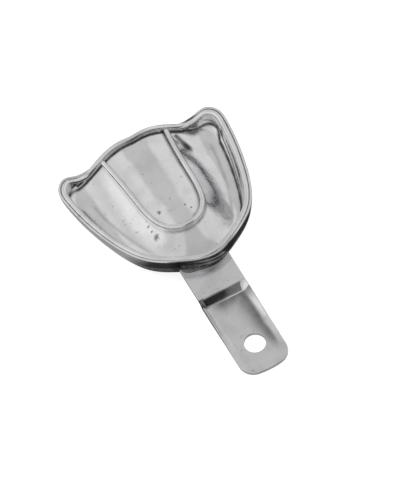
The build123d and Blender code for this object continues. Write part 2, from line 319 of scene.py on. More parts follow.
def inner_height(x, y):
    """Height of the upper face over the floor, the crest and the palate."""
    shape = np.shape(x)
    flat = np.stack([np.abs(np.ravel(x)), np.ravel(y)], axis=1)
    away, near = nearest(flat, CREST_LINE)
    close = CREST_LINE[near]
    ahead = CREST_LINE[np.minimum(near + 1, len(CREST_LINE) - 1)] - CREST_LINE[np.maximum(near - 1, 0)]
    side = ahead[:, 0] * (flat[:, 1] - close[:, 1]) - ahead[:, 1] * (flat[:, 0] - close[:, 0])
    rise = TROUGH_REAR_RISE * (np.maximum(flat[:, 1] - REAR_RISE_FROM, 0) / REAR_RISE_LENGTH) ** 2
    floor = TROUGH_FLOOR + rise
    flank = ramp(close[:, 1], HOLLOW_FROM, HOLLOW_FROM + HOLLOW_OVER)
    hollow = FRONT_HOLLOW + (FLANK_HOLLOW - FRONT_HOLLOW) * smooth(flank)
    fall = (1 - np.minimum(away / CREST_SLOPE, 1)) ** hollow
    trough = floor + (close[:, 2] - floor) * fall
    climb = 1 - (1 - np.minimum(away / PALATE_HALF_WIDTH, 1)) ** 2
    palate = close[:, 2] + (PALATE_TOP - close[:, 2]) * climb
    return np.where(side > 0, palate, trough).reshape(shape)


def resample(row, extra, start, shares):
    """Points of a row at given shares of its length, beginning at a length from its first point."""
    run = np.concatenate([[0.0], np.cumsum(np.linalg.norm(np.diff(row, axis=0), axis=1))])
    spots = start + (run[-1] - start) * shares
    together = np.concatenate([row, extra], axis=1)
    return np.stack([np.interp(spots, run, together[:, axis]) for axis in range(6)], axis=1)


def pan_half():
    """Upper face and its normals on the pan's right half: rows from the edge to the spine."""
    rim = clamped_curve(RIM, (1, 0, 0), (-1, 0, 0), RIM_STEPS)
    rim[[0, -1], 0] = 0.0
    s = np.linspace(0, 1, RIM_STEPS)
    spine = np.stack([0 * s, SPINE_FRONT + (SPINE_REAR - SPINE_FRONT) * s**SPINE_POWER], axis=1)
    reach = spine - rim[:, :2]
    length = np.linalg.norm(reach, axis=1)
    way = reach / length[:, None]
    border = smooth(ramp(s, BORDER_FROM, BORDER_FROM + BORDER_OVER))
    spread = (WALL_SPREAD + (BORDER_SPREAD - WALL_SPREAD) * border)[:, None]
    angle = np.linspace(0, pi / 2, WALL_STEPS)
    beyond = np.linspace(0, 1, FLOOR_STEPS)[1:]
    across_wall = spread * (1 - np.cos(angle))
    across_floor = spread + (length[:, None] - spread) * beyond
    inward = np.concatenate([across_wall, across_floor], axis=1)
    drop = np.concatenate([np.sin(angle), np.ones(FLOOR_STEPS - 1)])
    x = rim[:, 0][:, None] + way[:, 0][:, None] * inward
    y = rim[:, 1][:, None] + way[:, 1][:, None] * inward
    z = rim[:, 2][:, None] * (1 - drop) + inner_height(x, y) * drop
    upper = np.stack([x, y, z], axis=2)
    normal = np.cross(np.gradient(upper, axis=0), np.gradient(upper, axis=1))
    normal[:, WALL_STEPS:] = floor_normals(x, y)[:, WALL_STEPS:]
    normal[[0, -1], :, 0] = 0.0
    normal[:, -1, 0] = 0.0
    normal /= np.linalg.norm(normal, axis=2)[:, :, None]
    return upper, normal


def floor_normals(x, y):
    """Normals of the floor, measured on its height."""
    step = 0.05
    slope_x = (inner_height(x + step, y) - inner_height(x - step, y)) / (2 * step)
    slope_y = (inner_height(x, y + step) - inner_height(x, y - step)) / (2 * step)
    normal = np.stack([-slope_x, -slope_y, np.ones_like(x)], axis=2)
    return normal / np.linalg.norm(normal, axis=2)[:, :, None]


def new_object(name, points, faces, material):
    """A mesh piece from points in tray millimetres, placed in the shared frame."""
    mesh = bpy.data.meshes.new(name)
    mesh.from_pydata([tuple(p) for p in (np.asarray(points) + SHIFT) * MM], [], faces)
    mesh.validate()
    piece = bpy.data.objects.new(name, mesh)
    bpy.context.scene.collection.objects.link(piece)
    mesh.shade_smooth()
    mesh.materials.append(material)
    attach(piece, "root")
    return piece


def grid_faces(rows, columns, offset=0, close_columns=False, close_rows=False, flip=False):
    """Quads of a grid of points stored row by row."""
    faces = []
    for i in range(rows if close_rows else rows - 1):
        for j in range(columns if close_columns else columns - 1):
            a = offset + i * columns + j
            b = offset + i * columns + (j + 1) % columns
            c = offset + ((i + 1) % rows) * columns + (j + 1) % columns
            d = offset + ((i + 1) % rows) * columns + j
            faces.append((a, d, c, b) if flip else (a, b, c, d))
    return faces


def weld(piece, distance):
    """Joins points that lie on each other."""
    shape = bmesh.new()
    shape.from_mesh(piece.data)
    bmesh.ops.remove_doubles(shape, verts=shape.verts, dist=distance)
    bmesh.ops.dissolve_degenerate(shape, edges=shape.edges, dist=distance)
    bmesh.ops.recalc_face_normals(shape, faces=shape.faces)
    shape.to_mesh(piece.data)
    shape.free()


def split_at_middle(piece):
    """Splits the quads that have three points on the middle plane, so that no face lies in it."""
    shape = bmesh.new()
    shape.from_mesh(piece.data)
    for face in list(shape.faces):
        off = [k for k, vertex in enumerate(face.verts) if abs(vertex.co.x) > ON_MIDDLE]
        if len(face.verts) == 4 and len(off) == 1:
            bmesh.utils.face_split(face, face.verts[off[0]], face.verts[(off[0] + 2) % 4])
    shape.to_mesh(piece.data)
    shape.free()


def tray_points(piece):
    """The piece's points in tray millimetres, as x, y and z."""
    return (np.array([vertex.co[:] for vertex in piece.data.vertices]) / MM - SHIFT).T


def store(piece, name, values):
    """Stores one number per vertex for the materials."""
    layer = piece.data.attributes.new(name, "FLOAT", "POINT")
    layer.data.foreach_set("value", np.asarray(values, np.float32))


def mark_pan(piece, upper):
    """Stores on the pan how much painted shade or painted dark reflection each point gets, and how scuffed
    it is.
    """
    x, y, z = tray_points(piece)
    flat = np.stack([np.abs(x), y], axis=1)
    to_rim, _ = nearest(flat, upper[:, 0])
    inner = np.maximum(seams_of_wires(x, y, flat, to_rim), horn_mark_and_reflection(x, y))
    inner[z < inner_height(x, y) - SHEET / 2] = 0.0
    facing = np.array([vertex.normal.y for vertex in piece.data.vertices])
    outside = (y < OUTER_WALL_Y) & (facing < FACING_OUT)
    store(piece, "scuff", to_rim < SCUFFED_EDGE)
    # painted shade inside the pan, painted dark reflection on the outside of the front wall
    store(piece, "painted_shade", np.where(outside, painted_wall_reflection(x, z), inner))


def seams_of_wires(x, y, flat, to_rim):
    """Painted shade along the bead wire, in the trough's soft fold and along the palate wire."""
    ahead = ramp(y, *AHEAD_OF_REAR)
    on_right = ramp(x, *RIGHT_HALF) * ahead
    on_left = ramp(x, *LEFT_HALF) * ahead
    seam_at = RIM_SEAM_AT + RIGHT_SEAM_SHIFT * on_right + LEFT_SEAM_SHIFT * on_left
    at_rim = hump(to_rim - seam_at, RIM_SEAM_WIDTH + LEFT_SEAM_SPREAD * on_left)
    at_rim *= RIM_SHADE + RIGHT_SEAM_SHADE * on_right
    at_fold = FOLD_SHADE * hump(to_rim - FOLD_AT - LEFT_FOLD_SHIFT * on_left, FOLD_WIDTH)
    at_fold *= ramp(np.abs(x), *FOLD_SIDES) * ramp(y, *FOLD_END)
    to_crest, number = nearest(flat, CREST_LINE)
    inside = (flat[:, 0] < CREST_LINE[number, 0]) & (x > CREST_SHADE_X)
    at_crest = hump(to_crest - PALATE_WIRE_R, CREST_SEAM_WIDTH * (1 + inside))
    faint = CREST_FAINT + (1 - CREST_FAINT) * ramp(y, *CREST_FRONT)
    at_crest *= np.where(x < CREST_SHADE_X, faint, 1)
    return np.maximum(np.maximum(at_rim, at_crest), at_fold)


def horn_mark_and_reflection(x, y):
    """The dark ring-shaped mark on the right horn and the long painted dark reflection beside the palate
    wire.
    """
    spots = np.stack([x, y], axis=1)
    blotch = BLOTCH_DARKNESS * hump(np.linalg.norm(spots - BLOTCH, axis=1) - BLOTCH_R, BLOTCH_WIDTH)
    along = np.array(DARK_REFLECTION_TO) - DARK_REFLECTION_FROM
    share = np.clip((spots - DARK_REFLECTION_FROM) @ along / (along @ along), 0, 1)
    away = np.linalg.norm(spots - DARK_REFLECTION_FROM - share[:, None] * along, axis=1)
    width = DARK_REFLECTION_WIDTH[0] + (DARK_REFLECTION_WIDTH[1] - DARK_REFLECTION_WIDTH[0]) * share
    return np.maximum(blotch, DARK_REFLECTION_STRENGTH * np.exp(-((away / width) ** 4)))


def painted_wall_reflection(x, z):
    """Painted dark reflection, broken by streaks, on the outside of the wall round the handle's joint."""
    spread = np.clip(JOINT_PEAK - np.abs(x - HANDLE_OFFSET) / (HANDLE_WIDTH / 2 + JOINT_REACH), 0, 1)
    streak = 0.5 + 0.5 * np.sin(STREAKS[0] * z + STREAKS[1] * x)
    return np.minimum(JOINT_GAIN * spread, WALL_REFLECTION_DARKNESS) * (1 - STREAK_DEPTH * streak * ramp(x, *STREAK_FADE))


def make_pan(upper, normal, material):
    """The stamped pan with its rounded sheet edge."""
    shares = np.linspace(0, 1, SECTION_STEPS) ** SECTION_CROWDING
    arc = np.linspace(0, pi, 9)[1:-1]
    loops = []
    for row, row_normal in zip(upper, normal):
        points = resample(row, row_normal, SHEET / 2, shares)
        top = points[:, :3]
        ways = points[:, 3:] / np.linalg.norm(points[:, 3:], axis=1)[:, None]
        bottom = top - SHEET * ways
        middle = (top[0] + bottom[0]) / 2
        outward = top[0] - top[1]
        outward -= ways[0] * np.dot(outward, ways[0])
        outward /= np.linalg.norm(outward)
        edge = [middle + SHEET / 2 * (-cos(a) * ways[0] + sin(a) * outward) for a in arc]
        loops.append(np.concatenate([bottom[::-1], edge, top]))
    half = np.array(loops)
    half[[0, -1], :, 0] = 0.0
    half[:, [0, -1], 0] = 0.0
    rows, columns = half.shape[:2]
    right = half.reshape(-1, 3)
    left = right * (-1, 1, 1)
    faces = grid_faces(rows, columns) + grid_faces(rows, columns, offset=len(right), flip=True)
    whole = np.concatenate([right, left])
    piece = new_object("stamped_pan", whole, faces, material)
    weld(piece, SAME_PAN_POINT)
    split_at_middle(piece)
    mark_pan(piece, upper)
    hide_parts("tray_pan")


def wire_path(upper, normal, radius, depth):
    """Centre line of a wire lying on the upper face, a given depth inside the edge."""
    points = []
    for row, row_normal in zip(upper, normal):
        spot = resample(row, row_normal, depth, np.zeros(1))[0]
        points.append(spot[:3] + spot[3:] / np.linalg.norm(spot[3:]) * radius)
    return np.array(points)


def tube_rings(path, radius, around=28, closed=False):
    """Rings of points round a path."""
    if closed:
        ways = np.roll(path, -1, axis=0) - np.roll(path, 1, axis=0)
    else:
        ways = np.gradient(path, axis=0)
    ways /= np.linalg.norm(ways, axis=1)[:, None]
    across = np.cross(ways, (0, 0, 1.0))
    across /= np.linalg.norm(across, axis=1)[:, None]
    up = np.cross(across, ways)
    angle = np.linspace(0, 2 * pi, around, endpoint=False)
    ring = np.cos(angle)[None, :, None] * across[:, None, :] + np.sin(angle)[None, :, None] * up[:, None, :]
    return path[:, None, :] + radius * ring


def make_rim_wire(upper, normal, material):
    """The bead wire soldered all round inside the pan's edge; gives half its centre line."""
    half = wire_path(upper, normal, RIM_WIRE_R, RIM_WIRE_R)
    half[[0, -1], 0] = 0.0
    path = np.concatenate([half, half[-2:0:-1] * (-1, 1, 1)])
    rings = tube_rings(path, RIM_WIRE_R, closed=True)
    rows, columns = rings.shape[:2]
    faces = grid_faces(rows, columns, close_columns=True, close_rows=True)
    piece = new_object("rim_bead_wire", rings.reshape(-1, 3), faces, material)
    weld(piece, SAME_POINT)
    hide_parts("rim_wire")
    return half


def make_palate_wire(rim_half, material):
    """The U-shaped wire on the crest, with flat-capped ends that stop just short of the rim wire."""
    path = clamped_curve(CREST, *CREST_WAYS, PALATE_WIRE_STEPS) + (0, 0, PALATE_WIRE_R + CREST_LIFT)
    gap, _ = nearest(path[:, :2], rim_half)
    half = path[: int(np.argmax(gap < RIM_WIRE_R + WIRE_STOP_GAP))]
    half[0, 0] = 0.0
    whole = np.concatenate([half[:0:-1] * (-1, 1, 1), half])
    rings = tube_rings(whole, PALATE_WIRE_R, around=24)
    rows, columns = rings.shape[:2]
    faces = grid_faces(rows, columns, close_columns=True)
    faces.append(tuple(range(columns)))
    faces.append(tuple(reversed(range((rows - 1) * columns, rows * columns))))
    piece = new_object("palate_u_wire", rings.reshape(-1, 3), faces, material)
    weld(piece, SAME_POINT)
    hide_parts("palate_wire")


class Wall:
    """Outer face of the front wall, read from the pan's own surface."""

    def __init__(self, upper, normal):
        front = slice(0, FRONT_ROWS), slice(0, WALL_STEPS)
        self.rows = upper[front] - SHEET * normal[front]

    def y(self, x, height):
        """Where the wall stands at a place across and a height."""
        level = [[np.interp(-height, -row[:, 2], row[:, axis]) for row in self.rows] for axis in (0, 1)]
        return float(np.interp(abs(x), level[0], level[1]))


class Handle:
    """Heights of the pressed strip, over the distance from the wall and the place across."""

    def __init__(self):
        pitch = radians(SHANK_PITCH)
        self.shank_slope = -tan(pitch)
        self.step_from = SHANK_LENGTH * cos(pitch)
        self.step_top = SHANK_TOP - SHANK_LENGTH * sin(pitch)
        self.step_to = self.step_from + STEP_RUN
        self.step_foot = self.step_top - STEP_DROP
        blade_pitch = asin((self.step_foot - HANDLE_SHEET) / BLADE_LENGTH)
        self.blade_slope = -tan(blade_pitch)
        self.tip = self.step_to + BLADE_LENGTH * cos(blade_pitch)
        self.hole = self.tip - HOLE_FROM_TIP * cos(blade_pitch)
        self.fade = self.tip - FLANGE_FADE

    def middle(self, d, u=0.0):
        """Height of the strip's upper face on its centre line."""
        d = np.asarray(d, float)
        shank = SHANK_TOP + self.shank_slope * d
        run = STEP_RUN * (1 + STEP_TWIST * np.asarray(u, float) / HANDLE_WIDTH)
        halfway = (self.step_from + self.step_to) / 2
        step = (self.step_top + self.step_foot) / 2 - (self.step_top - self.step_foot) * (d - halfway) / run
        blade = self.step_foot + self.blade_slope * (d - self.step_to)
        over = 0.5 * (shank + step - np.sqrt((shank - step) ** 2 + BEND_SOFTNESS**2))
        return 0.5 * (over + blade + np.sqrt((over - blade) ** 2 + BEND_SOFTNESS**2))

    def flange(self, d):
        """How far the side flanges stand above the strip."""
        d = np.asarray(d, float)
        fade_height = self.step_foot + self.blade_slope * (self.fade - self.step_to)
        share = (d - self.step_from) / (self.fade - self.step_from)
        top = self.step_top + (fade_height - self.step_top) * share
        stand = np.where((d < self.step_from) | (d > self.fade), 0, top - self.middle(d))
        return np.maximum(stand, 0)

    def upper(self, u, d):
        """Height of the upper face."""
        rise_from = HANDLE_WIDTH / 2 - np.where(u > 0, RIGHT_FLANGE_RISE[0], LEFT_FLANGE_RISE[0])
        rise_to = HANDLE_WIDTH / 2 - np.where(u > 0, RIGHT_FLANGE_RISE[1], LEFT_FLANGE_RISE[1])
        share = ramp(np.abs(u), rise_from, rise_to)
        round_rise = 1 - np.sqrt(1 - share**2)
        rise = FLANGE_SOFTNESS * smooth(share) + (1 - FLANGE_SOFTNESS) * round_rise
        return self.middle(d, u) + self.flange(d) * rise

    def lower(self, u, d):
        """Height of the lower face, rounded up towards the flanges."""
        share = ramp(np.abs(u), HANDLE_WIDTH / 2 - LOWER_CORNER, HANDLE_WIDTH / 2)
        round_up = 1 - np.sqrt(1 - LOWER_ROUNDNESS * share**2)
        return self.middle(d, u) - HANDLE_SHEET + LOWER_LIFT * self.flange(d) * round_up


def handle_outline(handle, columns, d_ring):
    """Points round the blade's end: across at d_ring, down one side, round the tip and back."""
    half = HANDLE_WIDTH / 2
    bulge_r = (half**2 + TIP_BULGE**2) / (2 * TIP_BULGE)
    bulge_centre = handle.tip - bulge_r
    corner = TIP_CORNER_R
    corner_x = half - corner
    corner_d = bulge_centre + np.sqrt((bulge_r - corner) ** 2 - corner_x**2)
    meet = np.arctan2(corner_x, corner_d - bulge_centre)
    side_steps = int((corner_d - d_ring) / OUTLINE_SIDE_STEP)
    right_side = [(half, d) for d in np.linspace(d_ring, corner_d, side_steps + 1)[1:]]
    turn = np.linspace(0, pi / 2 - meet, OUTLINE_TURN_STEPS)[1:]
    right_corner = [(corner_x + corner * cos(a), corner_d + corner * sin(a)) for a in turn]
    sweep = np.linspace(meet, -meet, OUTLINE_TURN_STEPS)[1:-1]
    end = [(bulge_r * sin(a), bulge_centre + bulge_r * cos(a)) for a in sweep]
    left = [(-u, d) for u, d in reversed(right_side + right_corner)]
    return [(u, d_ring) for u in columns] + right_side + right_corner + end + left


def mark_handle(piece, handle, front):
    """Stores on the handle how much painted shade each point gets, and how scuffed it is."""
    x, y, _ = tray_points(piece)
    x, y = x - HANDLE_OFFSET, y - front
    yaw = radians(HANDLE_YAW)
    u = x * cos(yaw) + y * sin(yaw)
    d = x * sin(yaw) - y * cos(yaw)
    fold = STEP_FOLD_SHADE * hump(d - handle.step_to, STEP_FOLD_WIDTH) * ramp(u, *STEP_FOLD_FADE)
    marks = np.maximum(hollow_corners(u, d, handle), fold)
    on_flange = u < LEFT_FLANGE_RISE[0] - HANDLE_WIDTH / 2
    shade = np.minimum(ramp(u, *STEP_SHADE_FADE), STEP_SHADE)
    at_step = (d > handle.step_from - STEP_SHADE_MARGIN[0]) & (d < handle.step_to + STEP_SHADE_MARGIN[1])
    scuffed_left = (d > handle.step_to) & (u < SCUFFED_LEFT - HANDLE_WIDTH / 2)
    scuffed_right = u > HANDLE_WIDTH / 2 - SCUFFED_RIGHT
    store(piece, "scuff", scuffed_left | scuffed_right)
    # the stored values are painted shade
    store(piece, "painted_shade", np.where(at_step, np.where(on_flange, LEFT_FLANGE_SHADE, shade), marks))


def hollow_corners(u, d, handle):
    """Painted shade on the blade: under the step and along the right flange's foot."""
    beyond = np.clip(d - handle.step_to - UNDER_STEP_FROM, 0, None)
    taper = np.clip(1 - beyond / (handle.fade - handle.step_to + TAPER_RUN_OUT), 0, 1)
    left_end = -UNDER_STEP_LEFT * HANDLE_WIDTH
    under = hump(beyond, UNDER_STEP_REACH) * ramp(u, left_end, left_end + UNDER_STEP_FADE)
    inset = HANDLE_WIDTH / 2 - u - RIGHT_FLANGE_RISE[0]
    on_flange, beside, from_step = FLANGE_SHADE
    width = np.where(inset > 0, from_step * taper + beside, on_flange)
    along = hump(inset, width) * np.clip(taper * TAPER_GAIN, 0, 1)
    return np.where(d > handle.step_to + BLADE_SHADE_FROM, np.maximum(under, along), 0)


def strip_grid(handle, wall, front, columns, d_ring):
    """Flat points of the shank, the step and the blade before the hole, row by row."""
    fine_from, fine_to = handle.step_from - STEP_MARGIN, handle.step_to + STEP_MARGIN
    before, over, behind = HANDLE_ROWS
    distances = np.concatenate([
        np.linspace(0, fine_from, before)[:-1],
        np.linspace(fine_from, fine_to, over)[:-1],
        np.linspace(fine_to, d_ring, behind),
    ])
    flat = []
    for d in distances:
        for u in columns:
            set_back = front - wall.y(u + HANDLE_OFFSET, SHANK_TOP - SHANK_CUT) - SHANK_SINK
            flat.append((u, d + set_back * max(0.0, 1 - d / fine_from)))
    return flat, len(distances)


def ring_points(handle, rim):
    """Flat points of the rings round the hole, from the hole outwards, without the outline itself."""
    centre = np.array([0.0, handle.hole])
    points = []
    for share in RING_SHARES[:-1]:
        for point in rim:
            way = np.array(point) - centre
            hole_point = centre + way / np.linalg.norm(way) * HOLE_R
            points.append(tuple(hole_point + (np.array(point) - hole_point) * share))
    return points


def ring_faces(rings):
    """Quads between neighbouring rings, which are lists of point numbers."""
    faces = []
    for low, high in zip(rings[:-1], rings[1:]):
        for k in range(len(low)):
            n = (k + 1) % len(low)
            faces.append((low[k], low[n], high[n], high[k]))
    return faces


def flat_strip(handle, wall, front):
    """Flat points and faces of the strip, and the point numbers round its border and its hole."""
    half = HANDLE_WIDTH / 2
    width = HANDLE_COLUMNS
    columns = np.linspace(-half, half, width)
    d_ring = handle.hole - RINGS_BEFORE_HOLE
    flat, rows = strip_grid(handle, wall, front, columns, d_ring)
    rim = handle_outline(handle, columns, d_ring)
    count, offset = len(rim), len(flat)
    flat += ring_points(handle, rim)
    rings = [[offset + r * count + k for k in range(count)] for r in range(len(RING_SHARES) - 1)]
    last_row = [(rows - 1) * width + k for k in range(width)]
    end = [len(flat) + k for k in range(count - width)]
    flat += rim[width:]
    rings.append(last_row + end)
    faces = grid_faces(rows, width, flip=True) + ring_faces(rings)
    left_edge = [i * width for i in range(rows)]
    right_edge = [i * width + width - 1 for i in range(rows)]
    border = left_edge[::-1] + list(range(1, width - 1)) + right_edge + end
    return np.array(flat), faces, (border, rings[0][::-1])


def closed_skin(faces, loops, count):
    """The upper faces, the lower ones on a second set of points, and the walls along the loops."""
    closed = faces + [tuple(count + k for k in reversed(face)) for face in faces]
    for loop in loops:
        closed += [(a, b, count + b, count + a) for a, b in zip(loop, loop[1:] + loop[:1])]
    return closed


def make_handle(wall, material):
    """The pressed strip as one closed skin: shank, step, flanged blade, rounded tip and hole."""
    handle = Handle()
    front = wall.y(0, SHANK_TOP)
    flat, faces, loops = flat_strip(handle, wall, front)
    u, d = flat.T
    yaw = radians(HANDLE_YAW)
    x = HANDLE_OFFSET + u * cos(yaw) + d * sin(yaw)
    y = front + u * sin(yaw) - d * cos(yaw)
    heights = handle.upper(u, d), handle.lower(u, d)
    points = np.concatenate([np.stack([x, y, z], axis=1) for z in heights])
    skin = closed_skin(faces, loops, len(flat))
    piece = new_object("strip_handle", points, skin, material)
    weld(piece, SAME_POINT)
    mark_handle(piece, handle, front)
    bevel = piece.modifiers.new("rounded_edges", "BEVEL")
    bevel.width = EDGE_ROUNDING * MM
    bevel.segments = 3
    bevel.limit_method = "ANGLE"
    bevel.angle_limit = radians(50)
    bevel.harden_normals = True
    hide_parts("handle")


def solder_section(handle, wall, front, x, reach, side):
    """One section of a fillet: its root in the corner, then its face from the wall to the shank."""
    ends = 0.3 + 0.7 * (1 - abs(x / reach) ** 8)
    wavy = 1 + 0.07 * sin(1.9 * x + 0.6) + 0.04 * sin(4.3 * x)
    leg = SOLDER_LEG * ends * wavy
    run_out = leg
    if side > 0:
        left = max(0.0, -x) / (HANDLE_WIDTH / 2)
        run_out = (SOLDER_REACH + SOLDER_EXTRA * left**1.6) * ends
    place = x + HANDLE_OFFSET
    below = 0 if side > 0 else -HANDLE_SHEET
    foot = wall.y(place, SHANK_TOP)
    face = float(handle.middle(front - foot)) + below
    foot = wall.y(place, face)
    wall_z = face + side * leg
    on_wall = np.array([place, wall.y(place, wall_z) + SOLDER_SINK, wall_z])
    shank_z = float(handle.middle(front - foot + run_out)) + below - side * SOLDER_SINK
    on_shank = np.array([place, foot - run_out, shank_z])
    corner = np.array([place, foot, face])
    section = [corner + (0, SOLDER_ROOT, -side * SOLDER_ROOT)]
    for share in np.linspace(0, 1, SOLDER_POINTS):
        straight = on_wall + (on_shank - on_wall) * share
        section.append(straight + (corner - straight) * 4 * share * (1 - share) * SOLDER_SAG)
    return section


def make_solder(wall, material):
    """The two solder fillets between shank and wall."""
    handle = Handle()
    front = wall.y(0, SHANK_TOP)
    reach = HANDLE_WIDTH / 2 - SOLDER_INSET
    places = np.linspace(-reach, reach, SOLDER_SECTIONS)
    points, faces = [], []
    for side in (1, -1):
        grid = np.array([solder_section(handle, wall, front, x, reach, side) for x in places])
        offset = len(points)
        count, width = grid.shape[:2]
        points.extend(grid.reshape(-1, 3))
        faces.extend(grid_faces(count, width, offset, close_columns=True))
        faces.append(tuple(offset + k for k in range(width)))
        faces.append(tuple(offset + (count - 1) * width + k for k in reversed(range(width))))
    piece = new_object("handle_solder_fillets", points, faces, material)
    weld(piece, SAME_POINT)
    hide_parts("handle_solder")


# ---- materials ---------------------------------------------------------------
def node(tree, kind, inputs=None, **values):
    """A shader node with its settings; inputs are plain values or the sockets that feed them."""
    made = tree.nodes.new(kind)
    for key, value in values.items():
        setattr(made, key, value)
    for key, value in (inputs or {}).items():
        if isinstance(value, bpy.types.NodeSocket):
            tree.links.new(value, made.inputs[key])
        else:
            made.inputs[key].default_value = value
    return made


def calc(tree, operation, first, second=0.0, clamp=False):
    """One step of arithmetic on plain numbers or sockets."""
    inputs = {0: first, 1: second}
    return node(tree, "ShaderNodeMath", inputs, operation=operation, use_clamp=clamp).outputs[0]


def times(tree, first, second):
    return calc(tree, "MULTIPLY", first, second)


def plus(tree, first, second):
    return calc(tree, "ADD", first, second)


def minus(tree, first, second):
    return calc(tree, "SUBTRACT", first, second)


def vector_calc(tree, operation, first, second=(0, 0, 0)):
    """The node for one step of arithmetic on vectors."""
    return node(tree, "ShaderNodeVectorMath", {0: first, 1: second}, operation=operation)


def ease(tree, value, low, high):
    """A smooth step from 0 at low to 1 at high."""
    inputs = {"Value": value, "From Min": low, "From Max": high}
    return node(tree, "ShaderNodeMapRange", inputs, interpolation_type="SMOOTHSTEP").outputs["Result"]


def noise(tree, place, scale, detail):
    """Soft noise, mostly between 0.3 and 0.7."""
    inputs = {"Vector": place, "Scale": scale, "Detail": detail}
    return node(tree, "ShaderNodeTexNoise", inputs).outputs["Fac"]


def blend(tree, share, first, second):
    """A colour between two colours, which are plain or sockets."""
    made = node(tree, "ShaderNodeMix", {"Factor": share}, data_type="RGBA")
    for socket, value in zip((made.inputs[6], made.inputs[7]), (first, second)):
        if isinstance(value, bpy.types.NodeSocket):
            tree.links.new(value, socket)
        else:
            socket.default_value = (*value, 1)
    return made.outputs[2]


def marked_tint(tree, place, tint, specks):
    """The steel's colour, with faint clouds, water marks and dark specks."""
    cloud = ease(tree, noise(tree, place, 130.0, 4.0), 0.3, 0.62)
    colour = blend(tree, cloud, tuple(CLOUD_SHADE * c for c in tint), tint)
    marks = ease(tree, noise(tree, place, 560.0, 5.0), 0.655, 0.70)
    colour = blend(tree, times(tree, marks, WATER_MARKS), colour, STAIN)
    for x, y, radius in specks:
        flat = vector_calc(tree, "MULTIPLY", place, (1, 1, 0)).outputs[0]
        spot = tuple((np.array([x, y, 0]) + SHIFT * (1, 1, 0)) * MM)
        apart = vector_calc(tree, "DISTANCE", flat, spot).outputs["Value"]
        size = radius * MM
        ragged = times(tree, noise(tree, place, 1100.0, 2.0), SPECK_RAGGEDNESS * size)
        near = ease(tree, plus(tree, apart, ragged), SPECK_EDGE[0] * size, SPECK_EDGE[1] * size)
        colour = blend(tree, times(tree, near, SPECK_DARKNESS), colour, SHADE_AND_SPECK_COLOUR)
    return colour


def painted_shade_strength(tree, place, shade_strength, patch):
    """How strong the painted shade is: in patches, and weaker where it is only seen mirrored."""
    painted_shade = node(tree, "ShaderNodeAttribute", attribute_name="painted_shade").outputs["Fac"]
    mirrored = node(tree, "ShaderNodeLightPath").outputs["Is Glossy Ray"]
    painted_shade = times(tree, painted_shade, minus(tree, 1.0, times(tree, mirrored, MIRRORED_FADE)))
    patchy = plus(tree, times(tree, noise(tree, place, 300.0, 3.0), patch), 0.8 - patch / 2)
    return calc(tree, "MULTIPLY", times(tree, painted_shade, patchy), shade_strength, clamp=True)


def worked_surface(tree, place, wave, brush):
    """The normal of the pressed and brushed sheet: fine brush lines on a broad ripple."""
    inputs = {"Vector": place, "Rotation": (0.0, 0.0, radians(18)), "Scale": brush}
    stretch = node(tree, "ShaderNodeMapping", inputs).outputs["Vector"]
    lines = {"Height": noise(tree, stretch, 1.0, 3.0), "Strength": 0.12, "Distance": 0.02 * MM}
    fine = node(tree, "ShaderNodeBump", lines).outputs["Normal"]
    ripple = {"Height": noise(tree, place, 140.0, 1.5), "Strength": 1.0, "Distance": wave, "Normal": fine}
    return node(tree, "ShaderNodeBump", ripple).outputs["Normal"]


def polished_steel(name, tint, roughness, wave, brush, shade_strength=0.0, patch=0.9, matt=0.3, specks=()):
    """Polished stainless steel: press ripple, brush lines, water marks and specks, and painted shade and
    painted dark reflections from the stored per-point values.
    """
    material = bpy.data.materials.new(name)
    material.use_nodes = True
    tree = material.node_tree
    shader = tree.nodes["Principled BSDF"]
    place = node(tree, "ShaderNodeTexCoord").outputs["Object"]
    colour = marked_tint(tree, place, tint, specks)
    dull = 0.0
    if shade_strength:
        painted_shade = painted_shade_strength(tree, place, shade_strength, patch)
        scuff = node(tree, "ShaderNodeAttribute", attribute_name="scuff").outputs["Fac"]
        dull = plus(tree, times(tree, painted_shade, matt), times(tree, scuff, SCUFF_ROUGHNESS))
        # painted shade: the stored values darken the colour and the specular tint
        colour = blend(tree, painted_shade, colour, SHADE_AND_SPECK_COLOUR)
        tree.links.new(blend(tree, painted_shade, (1.0, 1.0, 1.0), SHADE_AND_SPECK_COLOUR), shader.inputs["Specular Tint"])
    smudge = node(tree, "ShaderNodeMapRange", {
        "Value": noise(tree, place, 320.0, 6.0),
        "From Min": 0.32,
        "From Max": 0.70,
        "To Min": roughness[0],
        "To Max": roughness[1],
    }).outputs["Result"]
    shader.inputs["Metallic"].default_value = 1.0
    tree.links.new(colour, shader.inputs["Base Color"])
    tree.links.new(plus(tree, smudge, dull), shader.inputs["Roughness"])
    tree.links.new(worked_surface(tree, place, wave, brush), shader.inputs["Normal"])
    return material


